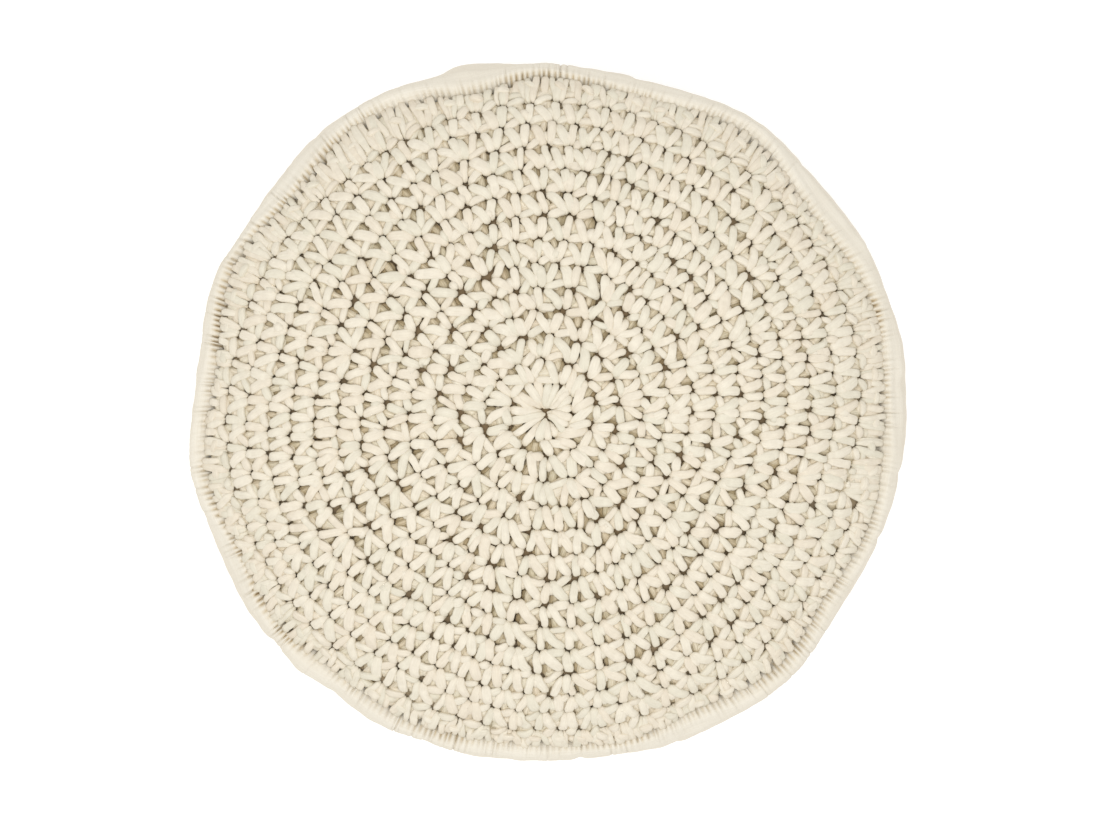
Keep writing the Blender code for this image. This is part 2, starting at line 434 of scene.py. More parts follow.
def sweep(plan, depth, half_width, half_height, taper, detail):
    """Vertices, the yarn's own coordinates and depths (mm) for the painted shade, and faces for
    many strands.

    plan is (strands, 4, 2), depth is (strands, 4), the halves are (strands,), taper is the
    share of the width at four places, and detail is the stations along and the sides round.
    """
    count = len(plan)
    stations, sides = detail
    shares = 0.5 - 0.5 * np.cos(np.linspace(0.0, math.pi, stations))
    line, deep, side, up = middle_lines(plan, depth, shares)
    length = np.linalg.norm(np.diff(line, axis=1), axis=-1).sum(1)
    along = np.broadcast_to(shares, (count, stations))
    full = oval_ends(along, length, half_width) * np.interp(shares, TAPER_AT, taper)
    wide = full * half_width[:, None]
    tall = full[:, 1:-1, None] * half_height[:, None, None]
    wide = (wide * (1.0 + WIDTH_NOISE * rng.normal(0.0, 1.0, wide.shape)))[:, 1:-1, None]
    turn = np.linspace(0.0, FULL_TURN, sides, endpoint=False)
    edge, crest = section(turn)
    across = wide * edge
    over = tall * crest
    fold = turn * FOLDS + rng.uniform(0.0, FULL_TURN, (count, 1, 1))
    fold = fold + FOLD_TWIST * shares[None, 1:-1, None]
    swell = 1.0 + FOLD_DEPTH * np.sin(fold) + LUMPINESS * rng.normal(0.0, 1.0, across.shape)
    # Painted shade in the creases: the sides count as deeper than they are, so the finish browns
    # them.
    crease = deep[:, 1:-1, None] + (CREASE - 1.0) * tall - CREASE * over
    across = across * swell
    over = over * swell
    ring = line[:, 1:-1, None, :] + side[:, 1:-1, None, :] * across[..., None]
    ring = ring + up[:, 1:-1, None, :] * over[..., None]
    own = np.concatenate([line[:, :1], ring.reshape(count, -1, 3), line[:, -1:]], 1)
    run = np.repeat((along * length[:, None])[:, 1:-1], sides, axis=1)
    tip = np.zeros((count, 1))
    places = [with_tips(tip, across, tip), with_tips(tip, over, tip)]
    places.append(with_tips(tip, run, length[:, None]))
    sink = with_tips(deep[:, :1], crease, deep[:, -1:])
    return own, np.stack(places, -1) / MM, sink / MM, strand_faces(count, stations - 2, sides)


def strand_faces(count, rings, sides):
    """Triangles for all strands, with a fan at each tip."""
    size = 2 + rings * sides
    k = np.arange(sides)
    after = (k + 1) % sides
    faces = [np.stack([np.zeros(sides, int), 1 + after, 1 + k], 1)]
    for ring in range(rings - 1):
        low = 1 + ring * sides
        high = low + sides
        faces.append(np.stack([low + k, low + after, high + after], 1))
        faces.append(np.stack([low + k, high + after, high + k], 1))
    last = 1 + (rings - 1) * sides
    faces.append(np.stack([last + k, last + after, np.full(sides, size - 1)], 1))
    one = np.concatenate(faces)
    return (one[None] + size * np.arange(count)[:, None, None]).reshape(-1, 3)


# Stations along and sides round a strand that shows well, less well, and hardly.
FINE = (13, 12)
FAIR = (10, 10)
COARSE = (8, 8)
print("triangles in one fine strand:", len(strand_faces(1, FINE[0] - 2, FINE[1])))


# %% [markdown]
# All strands of one kind become one object, because thousands of separate ones would be slow.
# The hand shows in small differences: each strand is a little wider or narrower, higher or
# lower, and has its own tone.

# %% Turn arrays into objects
WIDTH_SPREAD = 0.09
HEIGHT_SPREAD = 0.06
LIFT_SPREAD = 0.35 * MM
# No two strands start at the same place in the fibres: they are shifted by up to this, mm.
FIBRE_SHIFT = 40.0


def mesh_piece(name, points, faces, attributes):
    """A smooth mesh object from arrays, with its named point attributes."""
    mesh = bpy.data.meshes.new(name)
    mesh.vertices.add(len(points))
    mesh.vertices.foreach_set("co", points.astype(np.float32).ravel())
    mesh.loops.add(3 * len(faces))
    mesh.loops.foreach_set("vertex_index", faces.astype(np.int32).ravel())
    mesh.polygons.add(len(faces))
    mesh.polygons.foreach_set("loop_start", np.arange(0, 3 * len(faces), 3, dtype=np.int32))
    mesh.update(calc_edges=True)
    mesh.validate()
    mesh.shade_smooth()
    for label, values in attributes.items():
        kind, field = ("FLOAT_VECTOR", "vector") if values.ndim == 2 else ("FLOAT", "value")
        attribute = mesh.attributes.new(label, kind, "POINT")
        attribute.data.foreach_set(field, values.astype(np.float32).ravel())
    piece = bpy.data.objects.new(name, mesh)
    bpy.context.scene.collection.objects.link(piece)
    return piece


yarn_pieces = []


def yarn_piece(name, plan, half_width, half_height, deep, taper, uneven=None, detail=FINE,
               shaded=0.0):
    """One object for all strands of one kind; shaded ones get more painted shade and look
    browner.

    deep is the depth at four places along a strand, and uneven the range of what is added to
    it strand by strand, both in mm.
    """
    count = len(plan)
    depth = np.tile(np.array(deep) * MM, (count, 1))
    if uneven:
        depth = depth + rng.uniform(*uneven, count)[:, None] * MM
    wide = half_width * rng.normal(1.0, WIDTH_SPREAD, count)
    tall = half_height * rng.normal(1.0, HEIGHT_SPREAD, count)
    lift = rng.normal(0.0, LIFT_SPREAD, count)
    own, yarn, sink, faces = sweep(plan, depth + lift[:, None], wide, tall, taper, detail)
    tone = np.repeat(rng.random(count), own.shape[1])
    yarn[..., 2] += FIBRE_SHIFT * rng.random(count)[:, None]
    # shaded adds to the depth that the finish reads, as painted shade: such strands are browner.
    attributes = {"yarn": yarn.reshape(-1, 3), "sink": sink.ravel() + shaded, "tone": tone}
    yarn_pieces.append(mesh_piece(name, own.reshape(-1, 3), faces, attributes))
    print(name, "strands:", count, "triangles:", len(faces))


# %% [markdown]
# ## Places on a stitch
#
# A stitch is easiest to describe as the maker sees it, from its hole: so far out towards the
# seam and so far to the right, along the round. One helper turns such a step into a plan
# position. The hook moves to the left as the spiral grows, so right is back along the spiral.

# %% Step away from a hole
WAVER = 0.5 * MM


def step_from(numbers, right, out):
    """Plan positions at steps (mm) to the right and outwards from the numbered holes."""
    angle = hole_angles[numbers]
    outward = np.stack([np.cos(angle), np.sin(angle)], -1)
    rightward = np.stack([np.sin(angle), -np.cos(angle)], -1)
    right = np.broadcast_to(right, angle.shape)[..., None] * MM
    out = np.broadcast_to(out, angle.shape)[..., None] * MM
    return holes[numbers] + outward * out + rightward * right


def between(numbers, share, right, out):
    """Plan positions between each hole's next one (share 0) and the hole itself (share 1)."""
    low = step_from(numbers + 1, right, out)
    high = step_from(numbers, right, out)
    return low + (high - low) * share


def path(start, end, bow, spread):
    """Four points of each strand in plan, bent sideways in the middle by about bow, mm."""
    run = end - start
    square = unit(np.stack([run[:, 1], -run[:, 0]], -1))
    bend = rng.normal(bow * MM, spread * MM, len(run)) if spread else 0.0
    waver = rng.normal(0.0, WAVER, len(run))
    early = square * (bend + waver)[:, None]
    late = square * (bend - waver)[:, None]
    return np.stack([start, start + run / 3 + early, start + 2 * run / 3 + late, end], 1)


hole_gap = 1000 * np.linalg.norm(np.diff(holes[60:], axis=0), axis=1)
print("hole to hole, mm:", hole_gap.mean().round(1), "spread:", hole_gap.std().round(1))


# %% [markdown]
# ## The legs of the stitches
#
# A single crochet shows as a V: two legs rise from the hole below. The right one stands nearly
# straight up and ends in a round bulge under its own hole. The left one leans over to the next
# hole and tucks under the bar there. Where two stitches share a hole, their four legs fan out.
# Most holes are nearly shut, but some gape, and the legs keep clear of those. Near the seam
# the crochet is packed too tight for that.

# %% Right legs and left legs
LEG_HALF_WIDTH = 3.2 * MM
LEG_HALF_HEIGHT = 2.25 * MM
# How far to the right a foot moves in a shared hole, mm: the second stitch's and the first's.
FAN_OUT = (-1.5, 1.9)
# How far a hole gapes, mm: least, range of chance, what a shared hole has more, and how much
# of it tight crochet takes away.
LEAST_GAPE = 0.1
GAPE_SPREAD = 2.8
SHARED_GAPE = 0.5
GAPE_LOSS = 0.8

fan_out = np.where(shared, np.where(twins, *FAN_OUT), 0.0)
gape = LEAST_GAPE + GAPE_SPREAD * rng.random(HOLES) ** 3
gape[parents[shared]] += SHARED_GAPE
gape *= 1.0 - GAPE_LOSS * tightness(holes)
print("gape of the holes, mm:", gape.mean().round(2), "widest:", gape.max().round(1))

yarn_piece(
    "right_legs",
    path(
        step_from(parents, 0.2 + fan_out, 0.1 + 0.9 * gape[parents]),
        step_from(stitches, -2.2, -0.2 - 0.4 * gape[stitches]), bow=0.2, spread=0.6),
    LEG_HALF_WIDTH, LEG_HALF_HEIGHT, deep=(5.2, 2.6, 2.2, 4.0), taper=(0.80, 1.0, 1.0, 1.0))
yarn_piece(
    "left_legs",
    path(
        step_from(parents, -3.0 + 0.9 * fan_out, -0.8 + 0.6 * gape[parents]),
        step_from(stitches + 1, 1.9, -2.0 - 0.4 * gape[stitches + 1]), bow=1.1, spread=0.6),
    1.08 * LEG_HALF_WIDTH, LEG_HALF_HEIGHT, deep=(4.8, 2.7, 2.4, 4.2),
    taper=(0.92, 1.10, 1.04, 0.86))


# %% [markdown]
# ## The bars
#
# The top of a stitch is a chain link lying along the round. Its front strand shows as a short
# bar, rising to the right from beside the next hole until the leg of the stitch above covers
# it. Its back strand lies further out and deeper, so it needs fewer points.

# %% Front bars and back bars
BAR_HALF_WIDTH = 3.0 * MM
BAR_HALF_HEIGHT = 2.2 * MM

bars = np.arange(0, STITCHES)
yarn_piece(
    "front_bars",
    path(
        step_from(bars + 1, 1.2 + 0.5 * gape[bars + 1], -0.4),
        step_from(bars, -6.0, 4.2), bow=0.1, spread=0.6),
    BAR_HALF_WIDTH, BAR_HALF_HEIGHT, deep=(4.6, 2.9, 2.9, 5.0), taper=(0.80, 1.0, 1.0, 0.90),
    detail=FAIR)
# The back bars are given painted shade, so they are browner than the front ones.
yarn_piece(
    "back_bars",
    path(step_from(bars + 1, 1.6, 5.0), step_from(bars, -6.0, 8.6), bow=-0.6, spread=0.3),
    BAR_HALF_WIDTH, BAR_HALF_HEIGHT, deep=(5.8, 5.0, 5.0, 6.2), taper=(0.85, 1.1, 1.1, 0.85),
    detail=COARSE, shaded=1.1)


# %% [markdown]
# ## The yarn between the loops
#
# Between the loops in front, more yarn shows in the shade, and it is given painted shade, so
# it looks browner. A short web fills the crotch where a stitch's two legs part. A second,
# deeper bar follows each front bar on its inner side. In the mouth of each V stands a post, the
# yarn that was pulled through: it lies deepest under the bar and rises towards the crotch
# below it.

# %% Crotches, deeper bars and posts
POST_HALF_WIDTH = 2.7 * MM
POST_HALF_HEIGHT = 2.2 * MM
CROTCH_HALF_WIDTH = 3.3 * MM
UNDER_BAR_HALF_WIDTH = 2.6 * MM

yarn_piece(
    "crotches",
    path(
        step_from(parents, -1.6, 1.2 + gape[parents]),
        step_from(parents, -3.2, 10.6), bow=0.0, spread=0.3),
    CROTCH_HALF_WIDTH, POST_HALF_HEIGHT, deep=(5.0, 3.1, 2.9, 4.8), taper=(0.80, 1.0, 1.0, 0.8),
    detail=COARSE)
yarn_piece(
    "under_bars",
    path(step_from(bars + 1, 1.8, -2.2), step_from(bars, -7.5, 2.2), bow=0.0, spread=0.3),
    UNDER_BAR_HALF_WIDTH, POST_HALF_HEIGHT, deep=(5.6, 5.6, 5.8, 6.6),
    taper=(0.80, 1.0, 1.0, 0.8), detail=COARSE, shaded=1.0)
yarn_piece(
    "posts",
    path(between(bars, 0.55, 0.0, 3.8), between(bars, 0.55, -0.4, -8.5), bow=0.0, spread=0.4),
    POST_HALF_WIDTH, POST_HALF_HEIGHT, deep=(7.2, 6.0, 5.6, 5.6), taper=(0.80, 0.95, 1.0, 0.95),
    detail=COARSE, shaded=2.0)


# %% [markdown]
# A narrow tie beside each post closes the slit below the hole, so that only the hole itself
# looks dark. Below them all lies a bed of one broad strand a stitch, so that no gap looks
# through to the filling. Ties and bed are given painted shade, which makes them brown.

# %% Ties and the bed
TIE_HALF_WIDTH = 2.9 * MM
BED_HALF_WIDTH = 8.0 * MM

yarn_piece(
    "ties",
    path(step_from(bars, 0.2, -3.4), step_from(bars, 1.8, -12.4), bow=0.0, spread=0.3),
    TIE_HALF_WIDTH, POST_HALF_HEIGHT, deep=(5.8, 5.4, 5.2, 5.8), taper=(0.8, 0.9, 1.2, 1.0),
    detail=COARSE, shaded=1.9)
yarn_piece(
    "bed",
    path(between(bars, 0.5, -0.4, 6.0), between(bars, 0.5, 0.4, -10.5), bow=0.0, spread=0.3),
    BED_HALF_WIDTH, POST_HALF_HEIGHT, deep=(8.0, 7.6, 7.0, 7.0), taper=(0.70, 0.74, 1.0, 0.95),
    detail=(7, 8), shaded=1.7)


# %% [markdown]
# ## The middle
#
# The spiral starts in one small loop, pulled shut to a slit. The first stitches stand round it
# like rays, crowded and of uneven length. On the near side they are short, because the spiral
# has room there for a few stitches more before its first round closes.

# %% Rays round the slit
SLIT = np.array([0.5, 3.3]) * MM
# Each ray: its direction, degrees, and its start and end from the middle, mm.
RAYS = (
    (11, 0.1, 18.5), (24, 4.5, 20.5), (37, 2.4, 21.0), (50, 0.8, 23.0), (66, -0.2, 19.5),
    (84, 0.5, 18.5), (106, -0.5, 22.5), (127, 3.5, 23.0), (146, 2.3, 23.5), (160, 5.0, 25.0),
    (175, 1.2, 26.0), (191, -0.5, 26.5), (211, 0.8, 27.0), (232, 2.3, 26.0), (256, -0.2, 17.5),
    (279, 1.5, 16.5), (300, 2.3, 15.5), (320, 1.0, 17.5), (338, 0.5, 17.0), (354, 2.6, 18.5))
# Each further stitch: the hole that it reaches, and the direction and distance of its foot.
FIRST_STITCHES = ((5, 264, 15.0), (6, 297, 15.5), (7, 331, 16.5), (8, 2, 18.0), (9, 32, 19.5))


def from_middle(degrees, reach):
    """Plan positions at directions (degrees) and distances (mm) from the slit."""
    angle = np.radians(degrees)
    outward = np.stack([np.cos(angle), np.sin(angle)], -1)
    return MIDDLE + outward * (np.asarray(reach) * MM)[:, None] + outward * SLIT


ray_at, ray_from, ray_to = np.array(RAYS).T
yarn_piece(
    "rays",
    path(from_middle(ray_at, ray_from), from_middle(ray_at, ray_to), bow=0.0, spread=0.5),
    0.92 * LEG_HALF_WIDTH, LEG_HALF_HEIGHT, deep=(4.4, 3.0, 2.7, 5.2),
    taper=(0.60, 0.90, 1.05, 0.95), uneven=(-0.6, 1.2))
reached, foot_at, foot_from = np.array(FIRST_STITCHES).T
reached = reached.astype(int)
feet = from_middle(foot_at, foot_from)
yarn_piece(
    "first_legs",
    np.concatenate([
        path(feet, step_from(reached, -2.3, -0.4), bow=0.0, spread=0.3),
        path(feet, step_from(reached + 1, 1.8, -1.4), bow=0.0, spread=0.3)]),
    LEG_HALF_WIDTH, LEG_HALF_HEIGHT, deep=(5.8, 2.9, 2.6, 4.8), taper=(0.70, 1.0, 1.05, 0.9))


# %% [markdown]
# ## The edge of the crochet
#
# The last round runs into the seam. From each of its holes four legs go out to the seam and
# end side by side under the gathered cloth. The seam takes in some more than others, so their
# ends sway to and fro. Over them lies one short slanted bar a hole, pushed up by the tight
# seam, and below them a broad backing that closes the gaps.

# %% Legs to the seam
EDGE_HALF_WIDTH = 2.8 * MM
EDGE_HALF_HEIGHT = 2.3 * MM
EDGE_SWAY = 1.4 * MM
EDGE_SPREAD = 1.5 * MM
EDGE_RADIUS = 0.24
# How far inside the seam the legs end: numbers below nothing are past it. The sway is added
# to the range (mm), but every leg ends at least as far past the seam as the last one says.
TUCK_RANGE = (-4.2, -0.4)
LEAST_TUCK = -1.2 * MM
# The legs of one hole: start to the right and outwards, and end to the right, mm.
EDGE_LEGS = ((0.6, 1.0, 4.0), (-2.2, 1.2, -1.6), (-4.2, 1.6, -7.6), (-11.6, 5.6, -12.4))


def seam_point(angle, inset):
    """Plan positions that far inside the seam."""
    return plan_point(seam_radius(angle) - inset, angle)


edge_holes = np.arange(LAST_PARENT + 1, STITCHES + 1)
edge_angles = hole_angles[edge_holes]
edge_count = len(edge_holes)
seam_sway = closed_curve(rng.normal(0.0, EDGE_SWAY, 24))
edge_starts = []
edge_ends = []
for right, out, end in EDGE_LEGS:
    edge_starts.append(step_from(edge_holes, right, out))
    angle = edge_angles - end * MM / seam_radius(edge_angles)
    angle += rng.normal(0.0, EDGE_SPREAD, edge_count) / EDGE_RADIUS
    sway = np.interp(angle, seam_angles, seam_sway, period=FULL_TURN)
    tuck = rng.uniform(*TUCK_RANGE, edge_count) * MM + sway
    edge_ends.append(seam_point(angle, np.minimum(tuck, LEAST_TUCK)))
yarn_piece(
    "edge_legs",
    path(np.concatenate(edge_starts), np.concatenate(edge_ends), bow=0.0, spread=0.35),
    EDGE_HALF_WIDTH, EDGE_HALF_HEIGHT, deep=(5.6, 2.9, 2.7, 4.2),
    taper=(0.68, 1.0, 1.02, 0.78), uneven=(-0.6, 1.4), detail=(12, 12))


# %% [markdown]
# The bars are placed by their share of the way from the hole to the seam, because that way is
# short where the spiral ends and long just after it. Each bar's place and slant are left a
# little to chance. The backing needs neither.

# %% Bars and backing at the seam
BAR_SHARE = 0.56
BAR_RISE = 0.14
BAR_NOISE = 0.05


def edge_place(right, share):
    """Plan positions beside the last holes, at a share of the way from there to the seam."""
    inner = step_from(edge_holes, right, 0.0)
    outer = seam_point(edge_angles - right * MM / EDGE_RADIUS, 0.0)
    return inner + share[:, None] * (outer - inner)


bar_share = BAR_SHARE + rng.normal(0.0, BAR_NOISE, edge_count)
bar_rise = BAR_RISE + rng.normal(0.0, BAR_NOISE, edge_count)
yarn_piece(
    "edge_bars",
    path(edge_place(5.0, bar_share), edge_place(-5.5, bar_share + bar_rise), bow=0.0, spread=0.5),
    EDGE_HALF_WIDTH, EDGE_HALF_HEIGHT, deep=(4.0, 1.3, 1.1, 3.4), taper=(0.80, 1.0, 1.0, 0.80),
    uneven=(-0.4, 0.8), detail=FAIR)
# The backing is given painted shade, so it is browner than the legs over it.
yarn_piece(
    "edge_backing",
    path(
        between(edge_holes[:-1], 0.5, 0.0, 3.0),
        seam_point(edge_angles[:-1] + 9.0 * MM / EDGE_RADIUS, 2.0 * MM), bow=0.0, spread=0.0),
    1.35 * BED_HALF_WIDTH, POST_HALF_HEIGHT, deep=(6.8, 5.8, 5.2, 5.6),
    taper=(1.0, 1.0, 1.0, 1.0), detail=COARSE, shaded=1.0)
way_out = 1000 * (seam_radius(edge_angles) - np.linalg.norm(holes[edge_holes] - MIDDLE, axis=1))
print("hole to seam, mm, first and last:", way_out[0].round(), way_out[-1].round())


# %% [markdown]
# ## Helpers for the finishes
#
# Both finishes are matt cotton, so they share a shader's settings and a few small helpers.
# All of them only join nodes: noise for fibres and threads, ramps for colours, a mix that
# darkens, and a bump. What is the same all over is set on the shader's own sockets.

# %% Join the nodes
WHITE = (1.0, 1.0, 1.0)
SHEEN_COLOUR = (1.0, 0.86, 0.66)


def fill(tree, node, sockets):
    """Give each named socket its value, or link it to the socket that feeds it."""
    for socket, value in sockets.items():
        if isinstance(value, bpy.types.NodeSocket):
            tree.links.new(value, node.inputs[socket])
        else:
            node.inputs[socket].default_value = value
    return node


def add_node(tree, kind, sockets, **settings):
    """A new node with its settings and its filled sockets."""
    node = tree.nodes.new("ShaderNode" + kind)
    for setting, value in settings.items():
        setattr(node, setting, value)
    return fill(tree, node, sockets)


def new_finish(name, sockets):
    """An empty matt finish: the material, its node tree and its shader."""
    finish = bpy.data.materials.new(name)
    finish.use_nodes = True
    tree = finish.node_tree
    return finish, tree, fill(tree, tree.nodes["Principled BSDF"], sockets)


def cotton_finish(name, roughness, sheen):
    """Matt cotton without its colour, with a faint warm sheen of loose fibre."""
    return new_finish(name, {
        "Roughness": roughness, "Specular IOR Level": 0.1, "Sheen Weight": sheen,
        "Sheen Tint": (*SHEEN_COLOUR, 1.0), "Sheen Roughness": 0.6})


def read_attribute(tree, name, output="Fac"):
    """One of the mesh's point attributes."""
    node = add_node(tree, "Attribute", {}, attribute_type="GEOMETRY", attribute_name=name)
    return node.outputs[output]


def stretched_noise(tree, source, stretch, detail):
    """Noise read from stretched coordinates; a small stretch makes long marks."""
    scaled = add_node(tree, "VectorMath", {0: source, 1: stretch}, operation="MULTIPLY")
    sockets = {"Vector": scaled.outputs[0], "Scale": 1.0, "Detail": detail}
    return add_node(tree, "TexNoise", sockets).outputs["Fac"]


def ramp(tree, source, *stops):
    """A colour ramp from (place, colour) pairs."""
    node = add_node(tree, "ValToRGB", {"Fac": source})
    elements = node.color_ramp.elements
    for number, (place, colour) in enumerate(stops):
        element = elements[number] if number < len(elements) else elements.new(place)
        element.position = place
        element.color = (*colour, 1.0)
    return node.outputs["Color"]


def remap(tree, source, low, high):
    """Carry the range low to high onto 0 to 1, held at both ends."""
    sockets = {"Value": source, "From Min": low, "From Max": high}
    return add_node(tree, "MapRange", sockets).outputs["Result"]


def tint(tree, first, second, share=1.0):
    """Multiply the first colour by the second, wholly or by a share that a node gives."""
    sockets = {"Factor": share, 6: first, 7: second}
    return add_node(tree, "Mix", sockets, data_type="RGBA", blend_type="MULTIPLY").outputs[2]


def colour_and_raise(tree, shader, colour, height, distance, strength):
    """Give the shader its colour, and let a height raise the surface a little."""
    sockets = {"Height": height, "Distance": distance, "Strength": strength}
    bump = add_node(tree, "Bump", sockets)
    fill(tree, shader, {"Base Color": colour, "Normal": bump.outputs["Normal"]})


print("sheen colour:", SHEEN_COLOUR)


# %% [markdown]
# ## The finish of the yarn
#
# The yarn is undyed cotton, so it is a warm cream that differs a little from strand to strand
# and in cloudy patches along each. Fine fibres run along it. In the gaps a painted shade turns
# it brown, more the deeper it lies, and its streaks are painted stronger there. The fibres are
# noise stretched along each strand's own length, which needs no image and no unwrapping,
# because each point knows where it is on its strand.

# %% Mix the cotton yarn
CREAM_WARM = (0.688, 0.622, 0.512)
CREAM_COOL = (0.660, 0.622, 0.516)
CREAM_PALE = (0.712, 0.660, 0.556)
# Depths below the crown, mm, where the painted shade starts and where it is full.
YARN_SHADE = (2.0, 10.0)


def cotton_yarn():
    """Cream cotton with lengthwise fibres, browned by painted shade in the gaps."""
    finish, tree, shader = cotton_finish("cotton yarn", roughness=0.9, sheen=0.15)
    tone = read_attribute(tree, "tone")
    colour = ramp(tree, tone, (0.0, CREAM_WARM), (0.5, CREAM_PALE), (1.0, CREAM_COOL))
    yarn = read_attribute(tree, "yarn", "Vector")
    fibres = stretched_noise(tree, yarn, (1.7, 1.7, 0.16), 3.0)
    streaks = ramp(tree, fibres, (0.30, (0.93, 0.915, 0.89)), (0.70, WHITE))
    colour = tint(tree, colour, streaks)
    patches = stretched_noise(tree, yarn, (0.22, 0.22, 0.22), 2.0)
    dull = ramp(tree, patches, (0.35, (0.96, 0.955, 0.95)), (0.65, (1.03, 1.03, 1.025)))
    colour = tint(tree, colour, dull)
    # Painted shade: the deeper a point lies, the browner it is made, and the fibre streaks are
    # painted stronger in that shade.
    depth = remap(tree, read_attribute(tree, "sink"), *YARN_SHADE)
    shade = ramp(tree, depth, (0.0, WHITE), (0.34, (0.95, 0.93, 0.89)),
                 (0.62, (0.65, 0.585, 0.455)), (1.0, (0.44, 0.32, 0.18)))
    colour = tint(tree, colour, shade)
    strands = ramp(tree, fibres, (0.40, (0.70, 0.68, 0.59)), (0.58, (1.14, 1.14, 1.12)))
    colour = tint(tree, colour, strands, depth)
    colour_and_raise(tree, shader, colour, fibres, distance=0.35 * MM, strength=0.55)
    return finish


YARN = cotton_yarn()
for piece in yarn_pieces:
    piece.data.materials.append(YARN)
print("finish:", YARN.name, "on", len(yarn_pieces), "pieces")


# %% [markdown]
# ## The shape of the side cloth
#
# Under the crochet lies the filled body in its plain cloth. At the seam the cloth stands up in
# a soft roll, then goes over the shoulder and down the wall to the flat base. The wall is read
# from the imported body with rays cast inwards, so the cloth keeps its size and its unevenness.
# The roll is a short table of steps from the seam, and soft waves push the shoulder in and
# out. Together they are one line from the seam to the floor in every direction. The line keeps
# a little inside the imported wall, which leaves room for the lumps and dents that the cloth
# gets from its filling.

# %% Measure the line from seam to floor
WALL_READINGS = 192
WALL_LEVELS = np.concatenate([np.linspace(0.965, 0.10, 24), [0.06, 0.03, 0.012]])
# The roll: steps out from the seam and up from its height, mm.
ROLL = ((-5.0, -5.6), (-2.0, -4.2), (1.0, -3.0), (3.6, -2.0), (6.0, -1.8), (8.2, -3.0),
        (10.0, -5.6))
ROLL_WIDTH = 10.0
WALL_ROOM = 3.2 * MM
FLOOR_TUCK = 2.0 * MM
FROM_OUTSIDE = 0.5
# Dents and bulges of the shoulder, as waves.
SHOULDER_WAVES = (
    (4, 4, -2.4), (27, 5, 2.2), (84, 9, -3.0), (104, 2, 2.4), (142, 9, -2.0), (184, 8, 2.2),
    (205, 6, -2.8), (226, 4, 2.0), (257, 5, 2.2), (285, 4, -2.4), (314, 10, 2.0))


def body_tree():
    """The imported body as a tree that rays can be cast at."""
    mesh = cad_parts["pouf_body"].data
    corners = [v.co.copy() for v in mesh.vertices]
    faces = [tuple(p.vertices) for p in mesh.polygons]
    return BVHTree.FromPolygons(corners, faces)


def wall_radius(tree, angle, height):
    """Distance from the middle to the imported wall, at one height in one direction."""
    inward = Vector((-math.cos(angle), -math.sin(angle), 0.0))
    start = Vector((MIDDLE[0], MIDDLE[1], height)) - inward * FROM_OUTSIDE
    hit = tree.ray_cast(start, inward)[0]
    return math.hypot(hit.x - MIDDLE[0], hit.y - MIDDLE[1])


def side_lines():
    """Radius and height along the line from seam to floor: rows are steps, columns directions."""
    tree = body_tree()
    reading_angles = np.linspace(0.0, FULL_TURN, WALL_READINGS, endpoint=False)
    lifted = seam_height(reading_angles) + EDGE_LIFT
    shoulder_waves = waves_at(SHOULDER_WAVES, reading_angles)
    radii = []
    heights = []
    for out, up in ROLL:
        swing = shoulder_waves * np.clip(out / ROLL_WIDTH, 0.0, 1.0)
        radii.append(seam_radius(reading_angles) + out * MM + swing)
        heights.append(lifted + up * MM)
    for level in WALL_LEVELS:
        row = [wall_radius(tree, a, level * h) for a, h in zip(reading_angles, lifted)]
        radii.append(np.array(row) - WALL_ROOM + shoulder_waves)
        heights.append(level * lifted)
    radii.append(radii[-1] - FLOOR_TUCK)
    heights.append(np.zeros(WALL_READINGS))
    return np.array(radii), np.array(heights)


raw_radii, raw_heights = side_lines()
steps_along = np.hypot(np.diff(raw_radii, axis=0), np.diff(raw_heights, axis=0))
raw_along = np.concatenate([np.zeros((1, WALL_READINGS)), np.cumsum(steps_along, 0)])
LINE_LENGTH = raw_along[-1].mean()
print("seam to floor along the cloth, mm:", round(1000 * LINE_LENGTH))


# %% [markdown]
# The readings are few and straight-lined, so they are spread evenly along the line, smoothed,
# and then smoothed again round the pouf. After that any point of the cloth is found from two
# numbers, its direction and its distance from the seam.

# %% Smooth the line into a surface
LINE_STEPS = 321
SOFTENINGS = 6


def soften(table):
    """Average each row with its neighbours, but keep the first and last."""
    for _ in range(SOFTENINGS):
        table[1:-1] = 0.25 * table[:-2] + 0.5 * table[1:-1] + 0.25 * table[2:]
    return table


def even_rows(readings):
    """Readings at even steps along the line, made smooth along it and round the pouf."""
    even = np.zeros((LINE_STEPS, WALL_READINGS))
    for column in range(WALL_READINGS):
        share = raw_along[:, column] / raw_along[-1, column]
        even[:, column] = np.interp(np.linspace(0.0, 1.0, LINE_STEPS), share, readings[:, column])
    return np.stack([closed_curve(row) for row in soften(even)])


fine_radii = even_rows(raw_radii)
fine_heights = even_rows(raw_heights)


def read_table(table, angle, share):
    """Smooth reading of a table of rows (shares) and columns (directions)."""
    row = np.clip(share, 0.0, 1.0) * (LINE_STEPS - 1)
    low = np.minimum(row.astype(int), LINE_STEPS - 2)
    part = row - low
    column = (angle % FULL_TURN) / FULL_TURN * SEAM_STEPS
    left = column.astype(int) % SEAM_STEPS
    right = (left + 1) % SEAM_STEPS
    over = column - np.floor(column)
    lower = table[low, left] * (1 - over) + table[low, right] * over
    upper = table[low + 1, left] * (1 - over) + table[low + 1, right] * over
    return lower * (1 - part) + upper * part


def cloth_base(angle, share):
    """Points of the smooth side before any gather or crease."""
    plan = plan_point(read_table(fine_radii, angle, share), angle)
    return np.concatenate([plan, read_table(fine_heights, angle, share)[..., None]], -1)


def cloth_out(angle, share):
    """Unit vectors square to the smooth side, pointing outwards."""
    turn = 0.004
    slide = 0.004
    around = cloth_base(angle + turn, share) - cloth_base(angle - turn, share)
    down = cloth_base(angle, share + slide) - cloth_base(angle, share - slide)
    return unit(np.cross(down, around))


print("side surface table:", fine_radii.shape)


